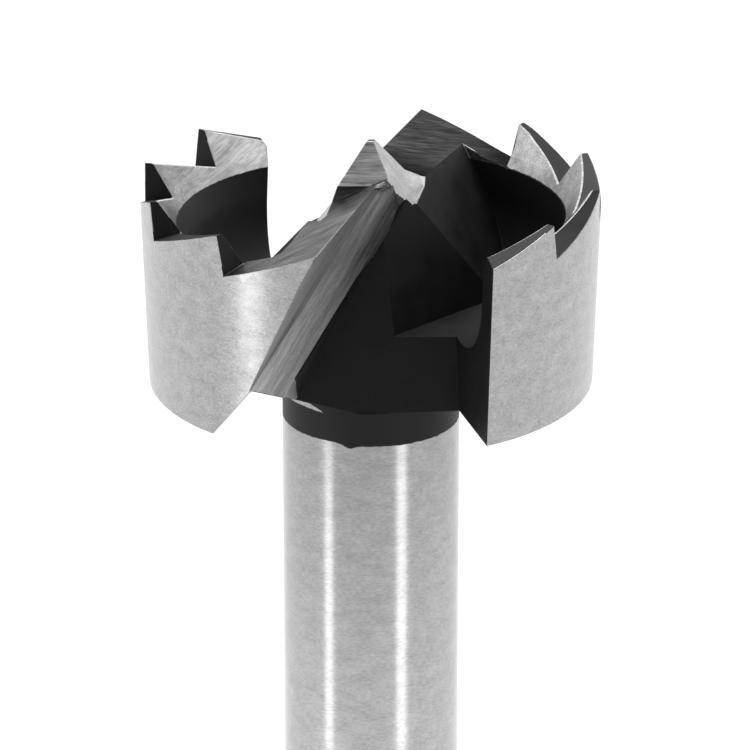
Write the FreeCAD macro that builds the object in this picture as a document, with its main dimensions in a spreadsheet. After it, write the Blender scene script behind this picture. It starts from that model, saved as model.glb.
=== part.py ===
import FreeCAD, Part

import os

import Sketcher

# Forstner bit, 25.4 mm across, with a saw-toothed rim in two wings, two lifters and a straight shank.
#
# Millimetres, +Z up. The origin is the centre of the flat end of the shank, the bit's axis is Z, and
# the bit turns counter-clockwise seen from above its point. The lengths whose names end in _drop are
# measured down from the plane of the rim's tooth tips. Azimuths are degrees from +X towards +Y, and
# those of one lifter and one wing are given: the other half of the head is the same, half a turn on,
# but for the pitch of its teeth.

NODE = "forstner_bit"
DOC = FreeCAD.newDocument(NODE)
V = FreeCAD.Vector

# A cutting block is larger than the bit, so that only its faces on the bit matter.
BLOCK = 80.0
PITCHES = {0: "first_wing_pitch", 180: "second_wing_pitch"}

# Driving dimensions: lengths in millimetres, angles in degrees.
SIZES = {
    # whole bit
    "overall_length": 90.0,
    "head_diameter": 25.4,
    "shank_diameter": 9.9,
    "shank_chamfer": 0.6,
    "point_height": 2.05,
    "point_blank_radius": 2.6,
    # head, outside
    "back_taper": 1.75,
    "wing_drop": 11.65,
    "root_drop": 12.1,
    # pocket behind each lifter
    "wall_thickness": 2.0,
    "pocket_drop": 8.0,
    "pocket_corner": 4.0,
    # rim teeth
    "tooth_count": 4,
    "tooth_azimuth": 140.2,
    "first_wing_pitch": 29.9,
    "second_wing_pitch": 28.9,
    "tooth_face_lean": 11.0,
    "tooth_back_slope": 19.5,
    "tip_land": 0.45,
    "bevel_angle": 33.0,
    "gap_azimuth": 98.0,
    # lifters
    "edge_azimuth": 254.2,
    "edge_offset": 0.57,
    "edge_fall": 1.0,
    "rake_angle": 24.8,
    "relief_angle": 20.6,
    "front_offset": 2.5,
    "back_azimuth": 342.7,
    "back_offset": 1.47,
    "back_lean": 29.9,
    # ground channel below each cutting edge
    "channel_azimuth": 280.6,
    "channel_offset": 1.23,
    "channel_lean": 43.3,
    # core between the lifters
    "core_azimuth": 270.0,
    "core_offset": 1.6,
    "core_lean": 15.0,
    "hollow_azimuth": 316.0,
    "hollow_offset": 1.38,
    "hollow_lean": 15.0,
    # open end of each wing
    "end_azimuth": 193.0,
    "end_offset": -3.85,
    "end_lean": 1.07,
    # underside below each lifter
    "under_azimuth": 349.0,
    "under_offset": 2.27,
    "under_lean": 37.5,
    "roof_azimuth": 240.8,
    "roof_lean": 65.4,
    "roof_drop": 14.16,
    # centre point
    "point_tip": 0.36,
    "point_foot_radius": 1.75,
    "point_foot_drop": 0.15,
    "point_front_azimuth": 270.0,
    "point_front_lean": 31.0,
    "point_side_azimuth": 347.0,
    "point_side_lean": 29.8,
    "point_side_reach": 4.1,
    "point_side_drop": 1.6,
    "point_side_radius": 6.0,
}


def make_sheet():
    """Spreadsheet of the driving dimensions, one named cell each."""
    sheet = DOC.addObject("Spreadsheet::Sheet", "Sizes")
    for row, (name, value) in enumerate(SIZES.items(), start=1):
        sheet.set(f"A{row}", name)
        sheet.set(f"B{row}", str(value))
        sheet.setAlias(f"B{row}", name)
    DOC.recompute()


make_sheet()

# Levels and radii that several features share, as expressions of the sheet.
TIPS = "(Sizes.overall_length - Sizes.point_height)"
TOP = "(Sizes.overall_length + 1)"
HEAD_RADIUS = "(Sizes.head_diameter / 2)"
SHANK_RADIUS = "(Sizes.shank_diameter / 2)"
WALL_RADIUS = f"({HEAD_RADIUS} - Sizes.wall_thickness)"


def degrees(cell, turn=0):
    """Expression for an angle of the sheet, turned on for the second half of the head."""
    return f"((Sizes.{cell} + {turn}) * 1deg)"


def add(kind, name, turn=None):
    """New object, named for its half of the head."""
    return DOC.addObject(kind, name if turn is None else f"{name}_{turn}")


def combine(kind, name, turn, pieces):
    """Common or fusion of several pieces."""
    result = add(f"Part::Multi{kind}", name, turn)
    result.Shapes = pieces
    return result


def cut(name, turn, base, tool):
    """Base with the tool taken away."""
    result = add("Part::Cut", name, turn)
    result.Base = base
    result.Tool = tool
    return result


def turned_block(name, turn, foot, rotation, corner):
    """Cutting block turned about its foot, with its corner at the given offset from there."""
    block = add("Part::Box", name, turn)
    block.Length = block.Width = block.Height = BLOCK
    offset = f"placement(vector({corner}); rotation(0; 0; 0))"
    block.setExpression("Placement", f"placement(vector({foot}); rotation({rotation})) * {offset}")
    return block


def half_space(name, turn, azimuth, lean, offset, level=TIPS):
    """Block that starts at a plane and goes on towards the azimuth.

    The plane is the given offset from the axis at the given level. A positive lean makes it face
    downwards, so that it nears the axis or passes it as it goes down.
    """
    foot = f"({offset}) * cos({azimuth}); ({offset}) * sin({azimuth}); {level}"
    middle = f"0; {-BLOCK / 2}; {-BLOCK / 2}"
    return turned_block(name, turn, foot, f"{azimuth}; {lean}; 0", middle)


def cylinder(name, turn, radius, base, top):
    """Cylinder on the bit's axis between two levels."""
    result = add("Part::Cylinder", name, turn)
    result.setExpression("Radius", radius)
    result.setExpression("Height", f"{top} - ({base})")
    result.setExpression("Placement.Base.z", base)
    return result


def origin_feature(body, role):
    """Plane or axis of a body's own origin."""
    return next(feature for feature in body.Origin.OriginFeatures if feature.Role == role)


def tie(sketch, kind, geometry, point, expression):
    """Hold one coordinate of a sketch's point to an expression."""
    value = float(sketch.evalExpression(expression))
    index = sketch.addConstraint(Sketcher.Constraint(kind, -1, 1, geometry, point, value))
    sketch.setExpression(f"Constraints[{index}]", expression)


def revolved_body(name, corners, arc_centres):
    """Body turned about Z from a closed outline of corners, each a radius and a level.

    Lines join the corners in turn. An arc leaves the corner whose number is in arc_centres, about a
    centre whose radius and level are given there.
    """
    body = DOC.addObject("PartDesign::Body", name)
    sketch = body.newObject("Sketcher::SketchObject", f"{name}_outline")
    sketch.AttachmentSupport = (origin_feature(body, "XZ_Plane"), [""])
    sketch.MapMode = "FlatFace"
    points = [V(*(float(sketch.evalExpression(text)) for text in corner), 0) for corner in corners]
    for index, start in enumerate(points):
        end = points[(index + 1) % len(points)]
        if index in arc_centres:
            centre = V(*(float(sketch.evalExpression(text)) for text in arc_centres[index]), 0)
            half_way = centre + ((start + end) / 2 - centre).normalize() * (start - centre).Length
            sketch.addGeometry(Part.Arc(start, half_way, end))
        else:
            sketch.addGeometry(Part.LineSegment(start, end))
    for index, (radius, level) in enumerate(corners):
        follower = (index + 1) % len(corners)
        sketch.addConstraint(Sketcher.Constraint("Coincident", index, 2, follower, 1))
        if radius == "0":
            sketch.addConstraint(Sketcher.Constraint("PointOnObject", index, 1, -2))
        else:
            tie(sketch, "DistanceX", index, 1, radius)
        if level == "0":
            sketch.addConstraint(Sketcher.Constraint("PointOnObject", index, 1, -1))
        else:
            tie(sketch, "DistanceY", index, 1, level)
    for index, (radius, _level) in arc_centres.items():
        tie(sketch, "DistanceX", index, 3, radius)
    turn = body.newObject("PartDesign::Revolution", f"{name}_turned")
    turn.Profile = sketch
    turn.ReferenceAxis = (sketch, ["V_Axis"])
    turn.Angle = 360.0
    body.Tip = turn
    return body


def make_blank():
    """Turned blank: shank with its chamfer, head with its back taper, and boss for the centre point."""
    wing_bottom = f"({HEAD_RADIUS} - Sizes.wing_drop * tan({degrees('back_taper')}))"
    corners = [
        ("0", "0"),
        (f"{SHANK_RADIUS} - Sizes.shank_chamfer", "0"),
        (SHANK_RADIUS, "Sizes.shank_chamfer"),
        (SHANK_RADIUS, f"{TIPS} - Sizes.root_drop"),
        (wing_bottom, f"{TIPS} - Sizes.wing_drop"),
        (HEAD_RADIUS, TIPS),
        ("Sizes.point_blank_radius", TIPS),
        ("Sizes.point_blank_radius", "Sizes.overall_length"),
        ("0", "Sizes.overall_length"),
    ]
    return revolved_body("blank", corners, {})


def make_pocket():
    """Round pocket inside the rim, with a large radius between its floor and its wall."""
    floor = f"{TIPS} - Sizes.pocket_drop"
    corner_radius = f"{WALL_RADIUS} - Sizes.pocket_corner"
    corner_level = f"{floor} + Sizes.pocket_corner"
    corners = [
        ("0", floor),
        (corner_radius, floor),
        (WALL_RADIUS, corner_level),
        (WALL_RADIUS, TOP),
        ("0", TOP),
    ]
    return revolved_body("pocket", corners, {1: (corner_radius, corner_level)})


def gap_side(name, turn):
    """Space on the lifter's side of the other wing's open end."""
    return half_space(name, turn, degrees("end_azimuth", turn), "-Sizes.end_lean", "Sizes.end_offset")


def chip_space(turn, pocket):
    """Space ahead of one lifter: the pocket up to the other lifter's back, and the throat below."""
    ahead = degrees("edge_azimuth", turn + 90)
    front = half_space("lifter_front", turn, ahead, "Sizes.rake_angle", "Sizes.front_offset")
    facing = degrees("back_azimuth", turn)
    back = half_space("lifter_back", turn, facing, "-Sizes.back_lean", "Sizes.back_offset")
    facing = degrees("hollow_azimuth", turn)
    hollow = half_space("hollow_side", turn, facing, "-Sizes.hollow_lean", "Sizes.hollow_offset")
    hollow = combine("Common", "hollow", turn, [hollow, front])
    behind = combine("Fuse", "behind_lifter", turn, [back, hollow])
    pocket_half = combine("Common", "pocket_half", turn, [pocket, behind])
    outward = degrees("core_azimuth", turn)
    core = half_space("core_front", turn, outward, "-Sizes.core_lean", "Sizes.core_offset")
    gap = combine("Common", "throat_gap", turn, [front, core, gap_side("throat_end", turn)])
    neck = cylinder("neck_below_core", turn, SHANK_RADIUS, "0", f"{TIPS} - Sizes.root_drop")
    throat = cut("throat", turn, gap, neck)
    return combine("Fuse", "chip_space", turn, [pocket_half, throat])


def channel(turn):
    """Ground channel along one lifter: its wall is the rake face and its floor a narrow band."""
    ahead = degrees("edge_azimuth", turn + 90)
    rake = half_space("rake_face", turn, ahead, "Sizes.rake_angle", "Sizes.edge_offset")
    facing = degrees("channel_azimuth", turn)
    floor = half_space("channel_floor", turn, facing, "-Sizes.channel_lean", "Sizes.channel_offset")
    space = combine("Common", "channel_space", turn, [rake, floor, gap_side("channel_end", turn)])
    foot = cylinder("point_foot", turn, "Sizes.point_foot_radius", f"{TIPS} - Sizes.point_foot_drop", TOP)
    return cut("channel", turn, space, foot)


def undercut(turn):
    """Clearance below one lifter, from its outer end in to the neck."""
    facing = degrees("under_azimuth", turn)
    side = half_space("under_side", turn, facing, "Sizes.under_lean", "Sizes.under_offset")
    facing = degrees("roof_azimuth", turn)
    level = f"({TIPS} - Sizes.roof_drop)"
    roof = half_space("under_roof", turn, facing, "Sizes.roof_lean", "0", level)
    space = combine("Common", "under_space", turn, [side, roof, gap_side("under_end", turn)])
    neck = cylinder("neck_in_undercut", turn, SHANK_RADIUS, "0", TIPS)
    return cut("undercut", turn, space, neck)


def beside_tooth(turn, number, quarter):
    """Azimuth a quarter turn ahead of one rim tooth, or behind it."""
    return f"((Sizes.tooth_azimuth + {number} * Sizes.{PITCHES[turn]} + {turn + quarter}) * 1deg)"


def tooth_face(name, turn, number):
    """Space ahead of the leading face of one rim tooth."""
    return half_space(name, turn, beside_tooth(turn, number, 90), "-Sizes.tooth_face_lean", "0")


def tooth_back(name, turn, number):
    """Space above the sloping back of one rim tooth."""
    return half_space(name, turn, beside_tooth(turn, number, -90), "Sizes.tooth_back_slope - 90", "0")


def bevel_cone(turn):
    """Cone that bevels the inside of the rim, from the teeth's narrow lands down to the pocket's wall."""
    slope = f"tan({degrees('bevel_angle')})"
    drop = f"((Sizes.wall_thickness - Sizes.tip_land) / {slope})"
    cone = add("Part::Cone", "bevel_cone", turn)
    cone.setExpression("Radius1", WALL_RADIUS)
    cone.setExpression("Radius2", f"{HEAD_RADIUS} - Sizes.tip_land + ({TOP} - {TIPS}) * {slope}")
    cone.setExpression("Height", f"{drop} + {TOP} - {TIPS}")
    cone.setExpression("Placement.Base.z", f"{TIPS} - {drop}")
    return cone


def rim_cuts(turn):
    """All that is cut from the rim of one wing: the gullets, the slope at its open end and the bevel."""
    last = SIZES["tooth_count"] - 1
    pieces = []
    for number in range(last):
        face = tooth_face(f"tooth_face_{number}", turn, number)
        back = tooth_back(f"tooth_back_{number + 1}", turn, number + 1)
        pieces.append(combine("Common", f"gullet_{number}", turn, [face, back]))
    beside_gap = half_space("beside_gap", turn, degrees("gap_azimuth", turn + 90), "0", "0")
    end_slope = tooth_back("tooth_back_0", turn, 0)
    pieces.append(combine("Common", "end_slope", turn, [end_slope, beside_gap]))
    behind = beside_tooth(turn, last, -90)
    toothed = half_space("toothed_part", turn, behind, "Sizes.tooth_face_lean", "0")
    pieces.append(combine("Common", "bevel", turn, [bevel_cone(turn), beside_gap, toothed]))
    cuts = combine("Fuse", "rim_shapes", turn, pieces)
    inside = cylinder("inside_rim", turn, f"{WALL_RADIUS} - Sizes.tip_land", "0", TOP)
    return cut("rim_cuts", turn, cuts, inside)


def point_face(turn, cells):
    """Space beside one face of the centre point."""
    offset = f"Sizes.point_tip / 2 + Sizes.point_height * tan({degrees(cells + '_lean')})"
    return half_space(cells, turn, degrees(cells + "_azimuth", turn), f"-Sizes.{cells}_lean", offset)


def flank(turn):
    """Space above one lifter's relief face, up to the front face of the centre point."""
    azimuth = degrees("edge_azimuth", turn)
    across = degrees("edge_azimuth", turn + 90)
    foot = f"Sizes.edge_offset * cos({across}); Sizes.edge_offset * sin({across}); {TIPS}"
    rotation = f"{azimuth}; Sizes.edge_fall; Sizes.relief_angle"
    above = turned_block("above_relief", turn, foot, rotation, f"{-BLOCK / 2}; {-BLOCK / 2}; 0")
    point_front = point_face(turn, "point_front")
    last_face = tooth_face("last_tooth_face", turn, SIZES["tooth_count"] - 1)
    inside = cylinder("inside_wall", turn, WALL_RADIUS, "0", TOP)
    reach = combine("Fuse", "relief_reach", turn, [last_face, inside])
    return combine("Common", "flank", turn, [above, point_front, reach])


def point_side(turn):
    """Space beside one side face of the centre point, a little way down the other lifter's back too."""
    side = point_face(turn, "point_side")
    limit = half_space("side_limit", turn, degrees("edge_azimuth", turn), "0", "-Sizes.point_side_reach")
    level = f"{TIPS} - Sizes.point_side_drop"
    around = cylinder("around_point", turn, "Sizes.point_side_radius", level, TOP)
    return combine("Common", "beside_point", turn, [side, limit, around])


def make_bit():
    """Whole bit: the blank with every cut taken from it, half a turn apart."""
    pocket = make_pocket()
    bit = make_blank()
    for turn in PITCHES:
        for tool in (
            chip_space(turn, pocket),
            channel(turn),
            undercut(turn),
            rim_cuts(turn),
            flank(turn),
            point_side(turn),
        ):
            bit = cut(f"after_{tool.Name}", None, bit, tool)
    bit.Label = NODE
    return bit


def check(thing):
    """Stop when an object failed to build or the bit is not one sound solid."""
    for item in DOC.Objects:
        failed = [state for state in item.State if state in ("Invalid", "Error")]
        if failed:
            raise RuntimeError(f"{item.Name} is {failed}")
    if thing.Shape.isNull() or not thing.Shape.isValid():
        raise RuntimeError(f"{thing.Label} has no sound shape")
    if len(thing.Shape.Solids) != 1:
        raise RuntimeError(f"{thing.Label} has {len(thing.Shape.Solids)} solids")


def main():
    bit = make_bit()
    DOC.recompute()
    check(bit)
    os.makedirs("parts", exist_ok=True)
    bit.Shape.exportStep(f"parts/{NODE}.step")
    box = bit.Shape.BoundBox
    print(f"{NODE}: {box.XLength:.2f} x {box.YLength:.2f} x {box.ZLength:.2f} mm")


main()
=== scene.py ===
import math

import bmesh
import bpy
from mathutils import Matrix, Vector
from mathutils.geometry import intersect_point_line


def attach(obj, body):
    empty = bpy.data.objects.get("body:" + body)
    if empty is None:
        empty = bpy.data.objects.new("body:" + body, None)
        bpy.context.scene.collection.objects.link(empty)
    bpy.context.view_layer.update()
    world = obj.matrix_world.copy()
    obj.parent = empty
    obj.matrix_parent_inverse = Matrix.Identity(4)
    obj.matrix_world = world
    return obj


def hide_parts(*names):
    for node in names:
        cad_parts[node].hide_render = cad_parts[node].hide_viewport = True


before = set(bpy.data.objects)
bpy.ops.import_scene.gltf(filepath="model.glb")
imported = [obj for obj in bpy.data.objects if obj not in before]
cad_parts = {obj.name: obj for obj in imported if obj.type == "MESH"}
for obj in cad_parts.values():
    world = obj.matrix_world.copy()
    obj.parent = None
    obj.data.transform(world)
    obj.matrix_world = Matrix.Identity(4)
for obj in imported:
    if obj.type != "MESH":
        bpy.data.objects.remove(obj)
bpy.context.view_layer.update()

MM = 0.001
NODE = "forstner_bit"

# Camera, fitted to the rim's tooth tips, the shank's edges and the cutting edges.
IMAGE_WIDTH = 750
FOCAL_PIXELS = 4545.0
SENSOR_WIDTH = 36.0
CAMERA_PLACE = (0.0, -235.8, 169.55)
CAMERA_PITCH = 21.6
CAMERA_YAW = -0.055
CLIP_START = 0.01

# Sizes of the bit that its surfaces are told apart by.
OVERALL_LENGTH = 90.0
POINT_HEIGHT = 2.05
TIP_LEVEL = OVERALL_LENGTH - POINT_HEIGHT
SHANK_RADIUS = 4.95
HEAD_RADIUS = 12.7
WALL_THICKNESS = 2.0
WALL_RADIUS = HEAD_RADIUS - WALL_THICKNESS
POCKET_DROP = 8.0
POCKET_CORNER = 4.0
POCKET_CENTRE = (WALL_RADIUS - POCKET_CORNER, TIP_LEVEL - POCKET_DROP + POCKET_CORNER)
BEVEL_DROP = 2.39
TOOTH_COUNT = 4
TOOTH_AZIMUTH = 140.2
TOOTH_PITCHES = (29.9, 28.9)
TOOTH_FACE_LEAN = -11.0
TOOTH_BACK_LEAN = -70.5

# The mesh: how short its edges may be, which angles are flat or sharp, and how far edges are rounded.
SMALLEST_EDGE = 0.055
FLAT_ANGLE = 0.4
SHARP_ANGLE = 20.0
EDGE_ROUNDING = 0.035
BURR_WIDTH = 0.075

# What the photograph shows a little differently from the model: the lower edge of the rim's bevel on the
# two wings, the open end of the first wing, the last tooth of the second, and two edges of the lifters.
BEVEL_DROPS = (2.6, 2.14)
END_SHIFT = 0.2
END_CURVE = 0.0092
END_TOP = 1.4
END_BOTTOM = 7.3
END_RADII = (6.7, 8.2)
LAST_SHIFT = 0.53
LAST_DEPTH = 2.45
CUTTING_EDGE_MOVE = (0.18, -0.05, 0.07)
CORNER_SHIFT = 0.4
CORNER_SLOPE = 0.05
FADE = 1.6

# Single corners that it shows elsewhere: X, Y and drop, and the move along X, Y and Z. The near lifter's
# back edge has one that stays, and only holds the edge there.
POINT_FACET_MOVES = (
    ((2.38, 1.96, 0.92), (-0.53, 0.94, 0.27)),
    ((2.73, 3.49, 0.92), (-0.07, -0.64, -0.03)),
    ((3.26, 3.34, 1.12), (-0.24, -0.32, 0.05)),
    ((3.11, 3.38, 1.6), (-0.19, -0.64, 0.07)),
    ((3.52, 3.26, 1.6), (-0.54, -0.43, 0.01)),
    ((1.95, -0.39, 1.11), (0.0, -0.19, -0.07)),
)
LIFTER_BACK_MOVES = (
    ((-1.8, -1.48, 0.12), (0.0, 0.0, 0.0)),
    ((-2.38, -1.96, 0.92), (0.26, 0.04, 0.09)),
    ((-1.95, 0.39, 1.11), (0.0, 0.0, -0.45)),
    ((-2.3, 0.18, 1.6), (0.0, 0.0, -0.65)),
    ((-2.5, 0.02, 1.6), (0.0, 0.0, -0.65)),
    ((-2.73, -3.49, 0.92), (0.31, -1.04, 0.2)),
    ((-3.0, -3.42, 1.02), (0.26, -1.79, 0.24)),
    ((-3.26, -3.34, 1.12), (-0.14, -0.99, 0.03)),
    ((-3.81, -4.99, 1.19), (0.2, -0.07, 0.08)),
    ((-4.65, -7.52, 1.28), (0.4, -0.14, 0.16)),
    ((-5.17, -9.08, 1.34), (0.42, -0.14, 0.17)),
)
CHANNEL_FRONT_MOVES = (
    ((0.8, -3.0, 1.98), (0.22, -0.06, -0.11)),
    ((0.01, -4.11, 2.98), (0.21, -0.05, -0.1)),
    ((-0.8, -5.23, 4.0), (0.04, -0.02, -0.02)),
)
CORNER_MOVES = POINT_FACET_MOVES + LIFTER_BACK_MOVES + CHANNEL_FRONT_MOVES

# How near a facet's middle and normal are to a face for the facet to belong to it, and how near a corner
# or an edge is to a place.
NEAR = 0.03
ALIKE = 0.9985
NEARLY_ALIKE = 0.99
SAME_CORNER = 0.08

# Where the surfaces that aren't flat lie, and how far their normals point outwards or upwards.
RIM_MARGIN = 1.0
POINT_RISE = 1.0
POINT_FOOT_RADIUS = 2.2
POINT_FOOT_DROP = 0.5
TAPER_MARGIN = 0.6
OUTSIDE_FACING = 0.9
SHANK_TOP_DROP = 11.0
SHANK_FACING = 0.5
SHANK_END_LEVEL = 1.0
BEVEL_FACING = 0.5
BEVEL_RISE = 0.4
BEVEL_BOTTOM_DROP = 3.0
WALL_FACING = 0.99
WALL_MARGIN = 0.1
LEVEL_RISE = 0.999


def leaning_normal(azimuth, lean):
    """Outward normal of a face that looks along an azimuth, and downwards where its lean is positive."""
    turn, tilt = math.radians(azimuth), math.radians(lean)
    return Vector((math.cos(tilt) * math.cos(turn), math.cos(tilt) * math.sin(turn), -math.sin(tilt)))


def plane(azimuth, lean, offset, level=TIP_LEVEL):
    """Normal of a face, and its distance from the origin along that normal."""
    facing = leaning_normal(azimuth, lean)
    turn = math.radians(azimuth)
    foot = Vector((offset * math.cos(turn), offset * math.sin(turn), level))
    return facing, facing.dot(foot)


# Flat faces of the head. The wing end is the open end's twin, half a turn on.
RAKE = plane(azimuth=344.2, lean=24.8, offset=0.57)
CHANNEL = plane(azimuth=280.6, lean=-43.3, offset=1.23)
LIFTER_FRONT = plane(azimuth=344.2, lean=24.8, offset=2.5)
LIFTER_BACK = plane(azimuth=162.7, lean=-29.9, offset=1.47)
CORE_FRONT = plane(azimuth=270.0, lean=-15.0, offset=1.6)
HOLLOW_SIDE = plane(azimuth=316.0, lean=-15.0, offset=1.38)
OPEN_END = plane(azimuth=193.0, lean=-1.07, offset=-3.85)
WING_END = plane(azimuth=13.0, lean=-1.07, offset=-3.85)
LAST_TOOTH_FACE = plane(azimuth=136.9, lean=-11.0, offset=0.0)
POINT_FRONT = plane(azimuth=270.0, lean=-31.0, offset=0.18, level=OVERALL_LENGTH)
POINT_SIDE = plane(azimuth=347.0, lean=-29.8, offset=0.18, level=OVERALL_LENGTH)
POINT_SIDE_END = plane(azimuth=254.2, lean=0.0, offset=-4.1)
POINT_SIDE_FLOOR = plane(azimuth=0.0, lean=-90.0, offset=0.0, level=TIP_LEVEL - 1.6)
POINT_SIDE_FOOT = plane(azimuth=104.2, lean=-38.6, offset=-2.16)
FLAT_FACES = (
    ("rake", RAKE),
    ("channel", CHANNEL),
    ("lifter_front", LIFTER_FRONT),
    ("dark", LIFTER_BACK),
    ("dark", CORE_FRONT),
    ("dark", HOLLOW_SIDE),
    ("tooth_face", OPEN_END),
    ("point_front", POINT_FRONT),
    ("point_side", POINT_SIDE),
    ("point_side", POINT_SIDE_END),
    ("point_side", POINT_SIDE_FLOOR),
)
FLANK_NORMAL = Vector((-0.342, 0.079, 0.936)).normalized()
FLANK_LEVEL = TIP_LEVEL - 0.216
FLANK = (FLANK_NORMAL, FLANK_NORMAL.z * FLANK_LEVEL)
HALF_TURN = Matrix.Rotation(math.pi, 3, "Z")
UP = Vector((0.0, 0.0, 1.0))
ALONG_BAR = RAKE[0].cross(CHANNEL[0]).normalized()

# Pairs of zones whose common edge the grinding has left torn; the torn edge gets a painted highlight.
BURRED = ({"flank", "rake"}, {"tooth_back", "bevel"}, {"tooth_back", "wall"})


def flat_zone(place, normal, pitch):
    """Zone of a flat face of the head, or nothing."""
    for zone, (facing, distance) in FLAT_FACES:
        if normal.dot(facing) > ALIKE and abs(place.dot(facing) - distance) < NEAR:
            return zone
    for number in range(TOOTH_COUNT):
        azimuth = TOOTH_AZIMUTH + number * pitch
        if place.xy.length > WALL_RADIUS - RIM_MARGIN:
            if normal.dot(leaning_normal(azimuth + 90, TOOTH_FACE_LEAN)) > ALIKE:
                return "tooth_face"
            if normal.dot(leaning_normal(azimuth - 90, TOOTH_BACK_LEAN)) > ALIKE:
                return "tooth_back"
    if normal.dot(FLANK_NORMAL) > NEARLY_ALIKE:
        return "flank"
    return None


def zone_of(place, normal):
    """Zone of one facet, from its middle in millimetres and its normal, and whether it is turned round."""
    turned = ((place, normal), (HALF_TURN @ place, HALF_TURN @ normal))
    for half, (one_place, one_normal) in enumerate(turned):
        zone = flat_zone(one_place, one_normal, TOOTH_PITCHES[half])
        if zone:
            return zone, half
    radius = place.xy.length
    drop = TIP_LEVEL - place.z
    outward = normal.xy.dot(place.xy) / max(radius, NEAR)
    second = int(place.x > 0)
    if -drop > POINT_RISE or (radius < POINT_FOOT_RADIUS and drop < POINT_FOOT_DROP):
        return "point_front", 0
    if radius > HEAD_RADIUS - TAPER_MARGIN and outward > OUTSIDE_FACING:
        return "outside", 0
    if radius < SHANK_RADIUS + NEAR and outward > SHANK_FACING and drop > SHANK_TOP_DROP:
        return "shank", 0
    if place.z < SHANK_END_LEVEL:
        return "shank", 0
    if outward < -BEVEL_FACING and normal.z > BEVEL_RISE and drop < BEVEL_BOTTOM_DROP:
        return "bevel", second
    if outward < -WALL_FACING and abs(radius - WALL_RADIUS) < WALL_MARGIN:
        return "wall", second
    return "dark", 0


def height_over(place, face):
    """How far a place lies in front of a flat face."""
    facing, distance = face
    return place.dot(facing) - distance


def nearness(place, face):
    """One on a flat face, and less and less behind it."""
    height = height_over(place, face)
    return max(0.0, 1.0 + height / FADE) if height < 2 * NEAR else 0.0


def swung(place, shift):
    """Place moved by a distance round the bit's axis."""
    return Matrix.Rotation(shift / place.xy.length, 3, "Z") @ place


def fitted_lifter(place):
    """Place of a corner of the near lifter, moved where the photograph shows it a little elsewhere."""
    if abs(height_over(place, RAKE)) > NEAR:
        return place
    if abs(height_over(place, FLANK)) < NEAR:
        return place + Vector(CUTTING_EDGE_MOVE)
    if abs(height_over(place, CHANNEL)) < NEAR:
        return place + max(0.0, CORNER_SHIFT - CORNER_SLOPE * (TIP_LEVEL - place.z)) * RAKE[0]
    return place


def fitted_rim(place):
    """Place of a corner of the rim, moved where the photograph shows it a little elsewhere."""
    drop, radius = TIP_LEVEL - place.z, place.xy.length
    if abs(radius - WALL_RADIUS) < NEAR and abs(drop - BEVEL_DROP) < NEAR:
        place = Vector((place.x, place.y, TIP_LEVEL - BEVEL_DROPS[int(place.x > 0)]))
    if place.y > 0 and radius > WALL_RADIUS - NEAR and drop < LAST_DEPTH:
        place = swung(place, -LAST_SHIFT * math.sqrt(max(0.0, drop)) * nearness(place, LAST_TOOTH_FACE))
    if place.x < 0 < place.y and drop > END_TOP:
        inner, outer = END_RADII
        share = min(1.0, max(0.0, (radius - inner) / (outer - inner))) * nearness(place, WING_END)
        place = swung(place, (END_CURVE * min(drop, END_BOTTOM) ** 2 - END_SHIFT) * share)
    return place


def fitted(place):
    """Place of a corner of the mesh, moved where the photograph shows it a little elsewhere."""
    near = fitted_lifter(place)
    far = HALF_TURN @ fitted_lifter(HALF_TURN @ place)
    return fitted_rim(near + far - place)


def corner_at(shape, place):
    """Corner of the mesh at a place, cut into the edge there if it has none."""
    for corner in shape.verts:
        if (corner.co / MM - place).length < SAME_CORNER:
            return corner
    for edge in shape.edges:
        first, second = (corner.co / MM for corner in edge.verts)
        foot, share = intersect_point_line(place, first, second)
        if 0.0 < share < 1.0 and (foot - place).length < SAME_CORNER:
            return bmesh.utils.edge_split(edge, edge.verts[0], share)[1]
    raise ValueError(f"no corner or edge at {place}")


def fit_corners(shape):
    """Move the corners of the mesh to where the photograph shows them: first single ones, then all."""
    found = []
    for (x, y, drop), move in CORNER_MOVES:
        found.append((corner_at(shape, Vector((x, y, TIP_LEVEL - drop))), Vector(move)))
    for corner, move in found:
        corner.co += move * MM
    for corner in shape.verts:
        corner.co = fitted(corner.co / MM) * MM
    shape.normal_update()


def round_normal(place, face_normal):
    """Normal of a round face at a place, from the normal of the facet there."""
    around = place.xy.normalized()
    side = math.copysign(1.0, face_normal.xy.dot(place.xy))
    radius, level = POCKET_CENTRE
    if side < 0 and place.xy.length > radius and place.z < level + NEAR and abs(face_normal.z) < LEVEL_RISE:
        inward = Vector((radius - place.xy.length, level - place.z)).normalized()
        return Vector((around.x * inward.x, around.y * inward.x, inward.y))
    flat = side * math.sqrt(max(0.0, 1.0 - face_normal.z**2))
    return Vector((around.x * flat, around.y * flat, face_normal.z))


def is_sharp(edge, kept):
    """Whether an edge stands between two faces of the model that meet sharply."""
    steep = edge.calc_face_angle(0.0) > math.radians(SHARP_ANGLE)
    return steep and all(face[kept] for face in edge.link_faces)


def is_burred(edge, zones):
    """Whether an edge is one that the grinding has left bright."""
    return {zones[face.material_index] for face in edge.link_faces} in BURRED


def merged_shape(node):
    """Mesh of the node, without the shortest edges and the cuts across flat faces."""
    shape = bmesh.new()
    shape.from_mesh(node.data)
    bmesh.ops.remove_doubles(shape, verts=shape.verts, dist=SMALLEST_EDGE * MM)
    flat = math.radians(FLAT_ANGLE)
    bmesh.ops.dissolve_limit(shape, angle_limit=flat, verts=shape.verts, edges=shape.edges)
    return shape


def mark_zones(shape, zones, half, kept):
    """Give each face its zone and its half of the head, and mark it as a face of the model."""
    for face in shape.faces:
        zone, turned = zone_of(face.calc_center_median() / MM, face.normal)
        face.material_index = zones.index(zone)
        face[half] = 1.0 - 2.0 * turned
        face[kept] = 1


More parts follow.
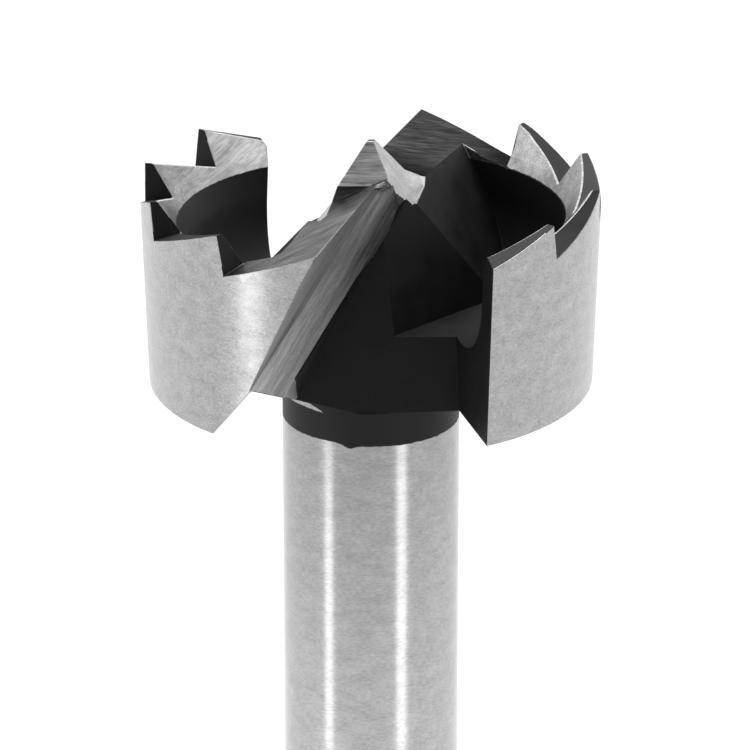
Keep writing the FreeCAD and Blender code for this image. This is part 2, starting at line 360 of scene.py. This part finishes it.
def round_edges(shape, zones, kept):
    """Round the sharp edges: first the torn ones, which get the torn edge's zone with its painted highlight,
    then the others.
    """
    for width, burred in ((BURR_WIDTH, True), (EDGE_ROUNDING, False)):
        sharp = [edge for edge in shape.edges if is_sharp(edge, kept)]
        edges = [edge for edge in sharp if is_burred(edge, zones) == burred]
        made = bmesh.ops.bevel(
            shape, geom=edges, offset=width * MM, offset_type="OFFSET", segments=1, affect="EDGES",
            clamp_overlap=False, material=zones.index("burr_highlight") if burred else -1, loop_slide=False,
        )
        for face in made["faces"]:
            face[kept] = 0
    shape.normal_update()


def true_normal(corner, face):
    """Normal of a face of the model at one of its corners."""
    return round_normal(corner.co / MM, face.normal) if face.smooth else face.normal.copy()


def corner_normals(shape, kept):
    """Normal for each corner of each face, which on a rounded edge lies between those beside it."""
    beside = {}
    for face in shape.faces:
        if face[kept]:
            for corner in face.verts:
                beside.setdefault(corner.index, []).append(true_normal(corner, face))
    normals = []
    for face in shape.faces:
        for corner in face.verts:
            if face[kept]:
                normal = true_normal(corner, face)
            else:
                normal = sum(beside.get(corner.index, [face.normal]), Vector()).normalized()
            normals.append(tuple(normal))
    return normals


def rounded_mesh(node, zones):
    """Mesh of the bit with narrow rounded edges, a zone for each face, and true normals on round faces."""
    shape = merged_shape(node)
    half = shape.faces.layers.float.new("half")
    kept = shape.faces.layers.int.new("kept")
    mark_zones(shape, zones, half, kept)
    fit_corners(shape)
    round_edges(shape, zones, kept)
    normals = corner_normals(shape, kept)
    for face in shape.faces:
        face.smooth = True
    mesh = bpy.data.meshes.new("bit")
    shape.to_mesh(mesh)
    shape.free()
    mesh.normals_split_custom_set(normals)
    return mesh


# Black oxide: its tone, its gloss, its grain and clouds, and its ragged border on ground steel.
OXIDE_TONE = 0.008
OXIDE_SPECULAR = 0.25
OXIDE_ROUGHNESS = 0.5
GRAIN_SCALE = 14.0
GRAIN_SHARE = 0.6
GRAIN_DEPTH = 0.004
CLOUD_SCALE = 0.6
SPOT_RANGE = (0.35, 0.7)
RAG_WIDTH = 0.4
RAG_SCALE = 2.6
BORDER_SOFTNESS = 0.02
BEVEL_MARGIN = 0.05

# Ground steel: the scales of its fine marks, broad marks and patches, and how far these are drawn out.
FINE_SCALE = 9.0
FINE_SHARE = 0.65
BROAD_SCALE = 1.6
BROAD_STREAK = 0.7
PATCH_SCALE = 0.9
PATCH_STREAK = 2.0
NOISE_RANGE = (0.3, 0.7)

# Burr: torn steel, in its scale, range, tones, roughness and depth. Its light tones are a painted highlight
# along the edge.
BURR_SCALE = 5.0
BURR_RANGE = (0.4, 0.6)
BURR_HIGHLIGHT_TONES = (0.5, 0.8)
BURR_ROUGHNESS = 0.6
BURR_DEPTH = 0.01

# Neck: the border of its oxide with a short tongue below it, and a bare crescent under the near lifter.
OXIDE_DROP = 13.95
TONGUE_AZIMUTH = -104.0
TONGUE_WIDTH = 5.0
TONGUE_DROP = 0.2
TONGUE_STEP = 0.1
TONGUE_REACH = 2.0
CRESCENT_AZIMUTH = -140.0
CRESCENT_WIDTH = 18.0
CRESCENT_SAG = 0.2
CRESCENT_DROP = 12.13
CRESCENT_HEIGHT = 0.16

# Shank: a painted reflection gradient, darker towards the neck.
SHANK_SHADE_DROPS = (14.0, 32.0)
SHANK_SHADES = (0.84, 1.08)

# Relief of a lifter: painted shade beside the centre point, at the near one's outer end, and on the far one.
POINT_SHADE_REACH = 3.3
POINT_SHADE = 0.07
OUTER_END = (-7.5, -5.2)
OUTER_END_SHADE = 0.22
FAR_SHADE = 0.45

# Centre point's front face: a painted highlight on a lip along its foot, painted shade on the foot below it,
# and where the foot ends.
LIP_DROP = 0.08
LIP_TOP_DROP = LIP_DROP - 0.2
LIP_FULL_DROP = LIP_DROP - 0.04
LIP_HIGHLIGHT = 1.5
FOOT_EDGE_DROP = LIP_DROP + 0.03
FOOT_BOTTOM_DROP = LIP_DROP + 0.7
FOOT_SHADES = (0.05, 0.2)
FOOT_END = (0.0, 0.12)

# Channel: a painted highlight along its corner with the rake face, painted light that grows towards its
# lower end, and black at its upper front.
CHANNEL_DROPS = (3.0, 8.1)
CHANNEL_CORNER_HIGHLIGHTS = (0.7, 2.1)
CHANNEL_FLOOR_SHADES = (0.16, 1.0)
CHANNEL_CORNER_WIDTHS = (0.4, 1.4)
CHANNEL_BLACK_DROPS = (0.38, 1.4)
CHANNEL_BLACK_WIDTH = 0.64

# Ground corner at the lower end of a lifter's front face.
BARE_CORNER_DROP = 8.1
BARE_CORNER_SLOPE = 1.9


class Tree:
    """Node tree of a material, with short ways to add and join nodes."""

    def __init__(self, name):
        self.material = bpy.data.materials.new(name)
        self.material.use_nodes = True
        self.nodes = self.material.node_tree.nodes
        self.links = self.material.node_tree.links
        self.shader = self.nodes["Principled BSDF"]
        place = self.add("ShaderNodeTexCoord").outputs["Object"]
        self.half = self.add("ShaderNodeAttribute", {"attribute_name": "half"}).outputs["Fac"]
        turned = self.add("ShaderNodeCombineXYZ", (), {"X": self.half, "Y": self.half, "Z": 1.0}).outputs[0]
        both = self.add("ShaderNodeVectorMath", {"operation": "MULTIPLY"}, {0: place, 1: turned}).outputs[0]
        inputs = {0: both, "Scale": 1.0 / MM}
        self.place = self.add("ShaderNodeVectorMath", {"operation": "SCALE"}, inputs).outputs[0]
        self.parts = self.add("ShaderNodeSeparateXYZ", (), {0: self.place}).outputs
        self.drop = self.math("SUBTRACT", TIP_LEVEL, self.parts["Z"])

    def add(self, kind, settings=(), inputs=()):
        """New node, with its settings and its inputs: each a plain value or another node's output."""
        made = self.nodes.new(kind)
        for key, value in dict(settings).items():
            setattr(made, key, value)
        for key, value in dict(inputs).items():
            self.put(made, key, value)
        return made

    def put(self, made, key, value):
        """Set or join one input."""
        if isinstance(value, bpy.types.NodeSocket):
            self.links.new(value, made.inputs[key])
        else:
            made.inputs[key].default_value = value

    def math(self, operation, first, second=0.0, third=0.0):
        """Result of a sum on one or more numbers."""
        made = self.add("ShaderNodeMath", {"operation": operation}, {0: first, 1: second, 2: third})
        return made.outputs[0]

    def square(self, value):
        """Number times itself."""
        return self.math("MULTIPLY", value, value)

    def along(self, direction, normal):
        """Place in millimetres, turned so that X runs along the direction and Z along the normal."""
        forward = Vector(direction).normalized()
        upward = (normal - normal.dot(forward) * forward).normalized()
        turn = Matrix((forward, upward.cross(forward), upward)).to_euler()
        return self.add("ShaderNodeMapping", (), {"Vector": self.place, "Rotation": turn}).outputs[0]

    def azimuth(self):
        """Azimuth in radians, in the half-turned place too."""
        return self.math("ARCTAN2", self.parts["Y"], self.parts["X"])

    def radius(self):
        """Distance from the bit's axis."""
        flat = self.add("ShaderNodeCombineXYZ", (), {"X": self.parts["X"], "Y": self.parts["Y"]}).outputs[0]
        return self.add("ShaderNodeVectorMath", {"operation": "LENGTH"}, {0: flat}).outputs["Value"]

    def wrapped(self, radius):
        """Place unrolled from a round face: X along its circumference, Z along the axis."""
        arc = self.math("MULTIPLY", self.azimuth(), radius)
        return self.add("ShaderNodeCombineXYZ", (), {"X": arc, "Z": self.parts["Z"]}).outputs[0]

    def noise(self, vector, stretch, scale, detail=4.0, roughness=0.6):
        """Noise that is drawn out along X by the stretch."""
        squeezed = self.add("ShaderNodeMapping", (), {"Vector": vector, "Scale": (1.0 / stretch, 1.0, 1.0)})
        inputs = {"Vector": squeezed.outputs[0], "Scale": scale, "Detail": detail, "Roughness": roughness}
        return self.add("ShaderNodeTexNoise", (), inputs).outputs["Fac"]

    def spread(self, value, low, high, to_low, to_high):
        """Value taken from one range to another, and kept within it."""
        inputs = {"Value": value, "From Min": low, "From Max": high, "To Min": to_low, "To Max": to_high}
        return self.add("ShaderNodeMapRange", {"clamp": True}, inputs).outputs["Result"]

    def step(self, value, low, high):
        """Nothing up to a low value, one from a high one on."""
        return self.spread(value, low, high, 0.0, 1.0)

    def grey(self, value):
        """Colour of one brightness."""
        inputs = {"Red": value, "Green": value, "Blue": value}
        return self.add("ShaderNodeCombineColor", (), inputs).outputs[0]

    def blend(self, factor, first, second):
        """Number between two others."""
        made = self.add("ShaderNodeMix", {"data_type": "FLOAT"}, {"Factor": factor, "A": first, "B": second})
        return made.outputs["Result"]

    def by_half(self, values):
        """One of two numbers, for the first or the second half of the head."""
        return self.spread(self.half, -1.0, 1.0, values[1], values[0])

    def beyond(self, face):
        """How far a place lies in front of a flat face, in millimetres."""
        facing, distance = face
        inputs = {0: self.place, 1: facing}
        reach = self.add("ShaderNodeVectorMath", {"operation": "DOT_PRODUCT"}, inputs).outputs["Value"]
        return self.math("SUBTRACT", reach, distance)

    def behind(self, face):
        """How far a place lies behind a flat face, in millimetres."""
        return self.math("MULTIPLY", self.beyond(face), -1.0)

    def finish(self, tone, rough, metal, height, depth):
        """Join tone, roughness and metal to the shader, and a height as bump of a depth in millimetres."""
        self.put(self.shader, "Base Color", self.grey(tone))
        self.put(self.shader, "Roughness", rough)
        self.put(self.shader, "Metallic", metal)
        self.shader.inputs["Specular IOR Level"].default_value = OXIDE_SPECULAR
        bump = self.add("ShaderNodeBump", (), {"Height": height, "Strength": 1.0, "Distance": depth * MM})
        self.put(self.shader, "Normal", bump.outputs["Normal"])


def bare_part(tree, borders, rag_width):
    """One where steel is bare, nothing where black oxide is left along a ragged border."""
    if not borders:
        return 1.0
    inside = borders[0]
    for border in borders[1:]:
        inside = tree.math("MINIMUM", inside, border)
    rag = tree.noise(tree.place, 1.0, RAG_SCALE, detail=5.0, roughness=0.65)
    ragged = tree.math("MULTIPLY_ADD", tree.math("SUBTRACT", rag, 0.5), rag_width, inside)
    return tree.step(ragged, -BORDER_SOFTNESS, BORDER_SOFTNESS)


def ground_steel(
    name, vector_of, tone, rough, streak=12.0, depth=0.0016, mottle=0.03, borders_of=None, shade_of=None,
    rag_width=RAG_WIDTH,
):
    """Ground steel: fine parallel marks, in its brightness, its roughness and its surface."""
    tree = Tree(name)
    vector = vector_of(tree)
    fine = tree.noise(vector, streak, FINE_SCALE)
    broad = tree.noise(vector, streak * BROAD_STREAK, BROAD_SCALE, detail=2.0)
    patches = tree.noise(vector, PATCH_STREAK, PATCH_SCALE, detail=5.0)
    marks = tree.math("MULTIPLY_ADD", fine, FINE_SHARE, tree.math("MULTIPLY", broad, 1.0 - FINE_SHARE))
    mottled = tree.spread(patches, *NOISE_RANGE, 1.0 - mottle, 1.0 + mottle)
    steel = tree.math("MULTIPLY", tree.spread(marks, *NOISE_RANGE, *tone), mottled)
    if shade_of:
        steel = tree.math("MULTIPLY", steel, shade_of(tree))
    bare = bare_part(tree, borders_of(tree) if borders_of else (), rag_width)
    shown_tone = tree.blend(bare, OXIDE_TONE, steel)
    shown_rough = tree.blend(bare, OXIDE_ROUGHNESS, tree.spread(fine, *NOISE_RANGE, *rough))
    tree.finish(shown_tone, shown_rough, bare, marks, depth)
    return tree.material


def black_oxide(name, tone, rough):
    """Black oxide on milled steel: nearly black, with a faint grain and sheen."""
    tree = Tree(name)
    grain = tree.noise(tree.place, 1.0, GRAIN_SCALE, detail=6.0, roughness=0.7)
    cloud = tree.noise(tree.place, 1.0, CLOUD_SCALE, detail=3.0)
    spots = tree.math("MULTIPLY_ADD", grain, GRAIN_SHARE, tree.math("MULTIPLY", cloud, 1.0 - GRAIN_SHARE))
    dark = tree.spread(spots, *SPOT_RANGE, *tone)
    tree.finish(dark, tree.spread(cloud, *NOISE_RANGE, *rough), 0.0, grain, GRAIN_DEPTH)
    return tree.material


def burr_highlight_steel():
    """Burr: torn steel that scatters the light, with light tones that paint a highlight along the edge."""
    tree = Tree("burr_highlight")
    torn = tree.noise(tree.place, 1.0, BURR_SCALE)
    # Light, non-metal tones: a painted highlight along the torn edge.
    tree.finish(tree.spread(torn, *BURR_RANGE, *BURR_HIGHLIGHT_TONES), BURR_ROUGHNESS, 0.0, torn, BURR_DEPTH)
    return tree.material


def beside(tree, azimuth, width):
    """How far round the axis a place lies from an azimuth, in widths."""
    aside = tree.math("SUBTRACT", tree.azimuth(), math.radians(azimuth))
    return tree.math("DIVIDE", aside, math.radians(width))


def shank_borders(tree):
    """Border of the black oxide round the neck, with a short tongue below it, and of the bare crescent."""
    aside = beside(tree, TONGUE_AZIMUTH, TONGUE_WIDTH)
    tongue = tree.math("EXPONENT", tree.math("MULTIPLY", tree.square(aside), -1.0))
    line = tree.math("MULTIPLY_ADD", tongue, TONGUE_DROP, OXIDE_DROP)
    line = tree.math("ADD", line, tree.spread(aside, -TONGUE_REACH, TONGUE_REACH, 0.0, TONGUE_STEP))
    below = tree.math("SUBTRACT", tree.drop, line)
    across = tree.square(beside(tree, CRESCENT_AZIMUTH, CRESCENT_WIDTH))
    middle = tree.math("MULTIPLY_ADD", across, CRESCENT_SAG, CRESCENT_DROP)
    off_middle = tree.math("ABSOLUTE", tree.math("SUBTRACT", tree.drop, middle))
    width = tree.math("MULTIPLY_ADD", across, -CRESCENT_HEIGHT, CRESCENT_HEIGHT)
    return (tree.math("MAXIMUM", below, tree.math("SUBTRACT", width, off_middle)),)


def shank_shade(tree):
    """Painted reflection gradient on the shank: a little darker towards the neck."""
    return tree.spread(tree.drop, *SHANK_SHADE_DROPS, *SHANK_SHADES)


def bevel_borders(tree):
    """Border of the rim's ground bevel: round its lower edge."""
    lower_edge = tree.by_half([drop - BEVEL_MARGIN for drop in BEVEL_DROPS])
    return (tree.math("SUBTRACT", lower_edge, tree.drop),)


def flank_borders(tree):
    """Border of a lifter's ground relief: its back edge, except on the rim."""
    on_rim = tree.math("SUBTRACT", tree.radius(), WALL_RADIUS)
    return (tree.math("MAXIMUM", tree.behind(LIFTER_BACK), on_rim),)


def flank_shade(tree):
    """Painted shade on a lifter's relief: beside the centre point, at its outer end, and on the far lifter.
    """
    away = tree.square(tree.step(tree.beyond(POINT_FRONT), 0.0, POINT_SHADE_REACH))
    by_point = tree.math("MULTIPLY_ADD", away, 1.0 - POINT_SHADE, POINT_SHADE)
    outer = tree.spread(tree.parts["X"], *OUTER_END, OUTER_END_SHADE, 1.0)
    return tree.math("MULTIPLY", tree.math("MULTIPLY", by_point, outer), tree.by_half((1.0, FAR_SHADE)))


def point_shade(tree):
    """Painted shade on the foot of the centre point's front face, below a painted highlight on its lip,
    behind the cutting edge.
    """
    below = tree.spread(tree.drop, LIP_DROP, FOOT_BOTTOM_DROP, *FOOT_SHADES)
    lip = tree.spread(tree.drop, LIP_TOP_DROP, LIP_FULL_DROP, 1.0, LIP_HIGHLIGHT)
    foot = tree.blend(tree.step(tree.drop, LIP_DROP, FOOT_EDGE_DROP), lip, below)
    return tree.blend(tree.step(tree.parts["X"], *FOOT_END), foot, 1.0)


def point_side_borders(tree):
    """Border of the point's side face, where the throat's oxide begins."""
    return (tree.beyond(POINT_SIDE_FOOT),)


def channel_shade(tree):
    """Channel's floor, with a painted highlight along its corner with the rake face and painted light that
    grows towards its lower end.
    """
    corner = tree.spread(tree.drop, *CHANNEL_DROPS, *CHANNEL_CORNER_HIGHLIGHTS)
    floor = tree.spread(tree.drop, *CHANNEL_DROPS, *CHANNEL_FLOOR_SHADES)
    return tree.blend(tree.step(tree.beyond(RAKE), *CHANNEL_CORNER_WIDTHS), corner, floor)


def channel_borders(tree):
    """Border of the channel: its upper front corner is left black."""
    black = tree.spread(tree.drop, *CHANNEL_BLACK_DROPS, CHANNEL_BLACK_WIDTH, -BORDER_SOFTNESS)
    return (tree.math("SUBTRACT", tree.behind(LIFTER_FRONT), black),)


def lifter_front_borders(tree):
    """Border of the lifter's front face: only its lowest corner is ground."""
    lower = tree.math("SUBTRACT", tree.drop, BARE_CORNER_DROP)
    return (tree.math("MULTIPLY_ADD", lower, BARE_CORNER_SLOPE, tree.beyond(CHANNEL)),)


def outside_steel():
    """Ground outside of the head."""
    return ground_steel(
        "ground_outside", lambda tree: tree.wrapped(HEAD_RADIUS), tone=(0.27, 0.53), rough=(0.22, 0.3),
        streak=2.0, mottle=0.06,
    )


def shank_steel():
    """Ground shank, with black oxide round its neck and a painted reflection gradient."""
    return ground_steel(
        "ground_shank", lambda tree: tree.wrapped(SHANK_RADIUS), tone=(0.31, 0.53), rough=(0.16, 0.22),
        streak=2.5, mottle=0.06, depth=0.0008, borders_of=shank_borders, rag_width=0.14,
        shade_of=shank_shade,
    )


def bevel_steel():
    """Ground bevel of the rim, and the upper edge of the wall below it."""
    return ground_steel(
        "ground_bevel", lambda tree: tree.along((0.55, 0.85, 0.2), UP), tone=(0.2, 0.64), rough=(0.28, 0.4),
        borders_of=bevel_borders, rag_width=0.12,
    )


def flank_steel():
    """Ground relief of a lifter, with painted shade."""
    return ground_steel(
        "ground_flank", lambda tree: tree.along((1.0, 0.586, 0.316), FLANK_NORMAL), tone=(0.12, 0.82),
        rough=(0.28, 0.4), borders_of=flank_borders, shade_of=flank_shade,
    )


def rake_steel():
    """Ground face below a cutting edge, which is the wall of its channel."""
    return ground_steel(
        "ground_rake", lambda tree: tree.along(ALONG_BAR, CHANNEL[0]), tone=(0.22, 0.46), rough=(0.6, 0.75),
    )


def channel_steel():
    """Ground floor of a channel, with painted light and a painted highlight."""
    return ground_steel(
        "ground_channel", lambda tree: tree.along(ALONG_BAR, CHANNEL[0]), tone=(0.28, 0.62),
        rough=(0.2, 0.35), streak=22.0, shade_of=channel_shade, borders_of=channel_borders, rag_width=0.15,
    )


def lifter_front_steel():
    """Front face of a lifter, black but for its lowest corner."""
    return ground_steel(
        "ground_lifter_front", lambda tree: tree.along(ALONG_BAR, LIFTER_FRONT[0]), tone=(0.4, 0.8),
        rough=(0.3, 0.5), borders_of=lifter_front_borders,
    )


def point_front_steel():
    """Front faces of the centre point, with painted shade and a painted highlight."""
    return ground_steel(
        "ground_point_front", lambda tree: tree.along((1.0, 0.0, 0.0), UP), tone=(0.1, 0.75),
        rough=(0.3, 0.4), shade_of=point_shade,
    )


def point_side_steel():
    """Side faces of the centre point."""
    return ground_steel(
        "ground_point_side", lambda tree: tree.along((0.2, 0.3, -0.6), UP), tone=(0.55, 1.0),
        rough=(0.3, 0.5), streak=4.0, borders_of=point_side_borders,
    )


def make_materials():
    """Materials of the zones."""
    bevel = bevel_steel()
    return {
        "outside": outside_steel(),
        "shank": shank_steel(),
        "bevel": bevel,
        "wall": bevel,
        "flank": flank_steel(),
        "rake": rake_steel(),
        "channel": channel_steel(),
        "lifter_front": lifter_front_steel(),
        "point_front": point_front_steel(),
        "point_side": point_side_steel(),
        "burr_highlight": burr_highlight_steel(),
        "tooth_face": black_oxide("oxide_tooth_face", tone=(0.006, 0.012), rough=(0.4, 0.5)),
        # Oxide on the tooth backs is lighter than on the tooth faces: painted sheen from the overhead light.
        "tooth_back": black_oxide("oxide_tooth_back_painted_sheen", tone=(0.018, 0.031), rough=(0.4, 0.5)),
        "dark": black_oxide("oxide_dark", tone=(0.002, 0.013), rough=(0.5, 0.65)),
    }


def dress(node):
    """Bit as it is shown: its CAD shape with rounded edges and a material for each zone."""
    materials = make_materials()
    piece = bpy.data.objects.new("bit", rounded_mesh(node, list(materials)))
    bpy.context.collection.objects.link(piece)
    for material in materials.values():
        piece.data.materials.append(material)
    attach(piece, "root")
    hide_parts(NODE)


# Floor: its size and level in metres, and its finish.
FLOOR_SIZE = 8.0
FLOOR_LEVEL = -0.0002
FLOOR_TONE = 0.92
FLOOR_ROUGHNESS = 0.9


def make_floor():
    """Plain pale floor, large enough to fill the camera's view."""
    bpy.ops.mesh.primitive_plane_add(size=FLOOR_SIZE, location=(0.0, 0.0, FLOOR_LEVEL))
    floor = bpy.context.object
    floor.name = "floor"
    material = bpy.data.materials.new("pale_floor")
    material.use_nodes = True
    shader = material.node_tree.nodes["Principled BSDF"]
    shader.inputs["Base Color"].default_value = (FLOOR_TONE, FLOOR_TONE, FLOOR_TONE, 1.0)
    shader.inputs["Roughness"].default_value = FLOOR_ROUGHNESS
    shader.inputs["Specular IOR Level"].default_value = 0.0
    floor.data.materials.append(material)


# Soft panels: azimuth, distance from the axis, level, level aimed at, width, height, radiance.
HEAD_MIDDLE = 80.0
PANELS = {
    "overhead": (90.0, 190.0, 700.0, HEAD_MIDDLE, 560.0, 560.0, 4.2),
    "right_panel": (344.0, 420.0, 300.0, HEAD_MIDDLE, 290.0, 300.0, 1.25),
    "right_side_panel": (22.0, 420.0, 300.0, HEAD_MIDDLE, 240.0, 300.0, 0.85),
    "right_back_panel": (48.0, 460.0, 90.0, HEAD_MIDDLE, 150.0, 170.0, 0.9),
    "left_panel": (168.0, 420.0, 230.0, HEAD_MIDDLE, 360.0, 360.0, 1.05),
    "left_back_panel": (126.0, 460.0, 90.0, HEAD_MIDDLE, 190.0, 170.0, 0.8),
    "left_strip": (209.2, 141.0, 40.0, 40.0, 28.0, 28.0, 3.2),
    "low_left_strip": (213.8, 115.0, 14.0, 14.0, 20.6, 28.0, 1.75),
    "right_strip": (309.8, 115.0, 18.0, 18.0, 25.7, 36.0, 1.75),
}

# Surround: the direction in which it is darkest, and how near to that its strength changes.
DARK_AZIMUTH = 75.0
DARK_LEAN = -25.0
DARK_EDGES = {"From Min": 0.75, "From Max": 0.95}
STRENGTHS = {"To Min": 0.42, "To Max": 0.1}
WHITE = (1.0, 1.0, 1.0, 1.0)


def add_panel(name, azimuth, distance, level, aim, width, height, radiance):
    """Soft rectangular light that faces the bit's axis at a level."""
    turn = math.radians(azimuth)
    place = Vector((distance * math.cos(turn), distance * math.sin(turn), level)) * MM
    away = place - Vector((0.0, 0.0, aim)) * MM
    light = bpy.data.lights.new(name, "AREA")
    light.shape = "RECTANGLE"
    light.size, light.size_y = width * MM, height * MM
    light.energy = radiance * math.pi * light.size * light.size_y
    lamp = bpy.data.objects.new(name, light)
    lamp.location = place
    lamp.rotation_euler = away.to_track_quat("Z", "Y").to_euler()
    lamp.visible_camera = False
    bpy.context.collection.objects.link(lamp)


def make_surround():
    """Pale surround that is darker behind the bit."""
    world = bpy.data.worlds.new("studio")
    bpy.context.scene.world = world
    world.use_nodes = True
    nodes = world.node_tree.nodes
    links = world.node_tree.links
    direction = nodes.new("ShaderNodeTexCoord").outputs["Generated"]
    facing = nodes.new("ShaderNodeVectorMath")
    facing.operation = "DOT_PRODUCT"
    facing.inputs[1].default_value = leaning_normal(DARK_AZIMUTH, DARK_LEAN)
    links.new(direction, facing.inputs[0])
    fade = nodes.new("ShaderNodeMapRange")
    for key, value in {**DARK_EDGES, **STRENGTHS}.items():
        fade.inputs[key].default_value = value
    links.new(facing.outputs["Value"], fade.inputs["Value"])
    links.new(fade.outputs["Result"], nodes["Background"].inputs["Strength"])
    nodes["Background"].inputs["Color"].default_value = WHITE


def make_lights():
    """Soft studio light: panels round the bit and the surround."""
    for name, values in PANELS.items():
        add_panel(name, *values)
    make_surround()


def make_camera():
    """Camera at the photograph's viewing angle."""
    camera = bpy.data.cameras.new("camera")
    camera.sensor_width = SENSOR_WIDTH
    camera.lens = FOCAL_PIXELS * SENSOR_WIDTH / IMAGE_WIDTH
    camera.clip_start = CLIP_START
    holder = bpy.data.objects.new("camera", camera)
    holder.location = Vector(CAMERA_PLACE) * MM
    holder.rotation_euler = (math.radians(90.0 - CAMERA_PITCH), 0.0, math.radians(CAMERA_YAW))
    bpy.context.collection.objects.link(holder)
    bpy.context.scene.camera = holder


make_camera()
make_floor()
make_lights()
dress(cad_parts[NODE])
bpy.context.scene.view_settings.view_transform = "Standard"
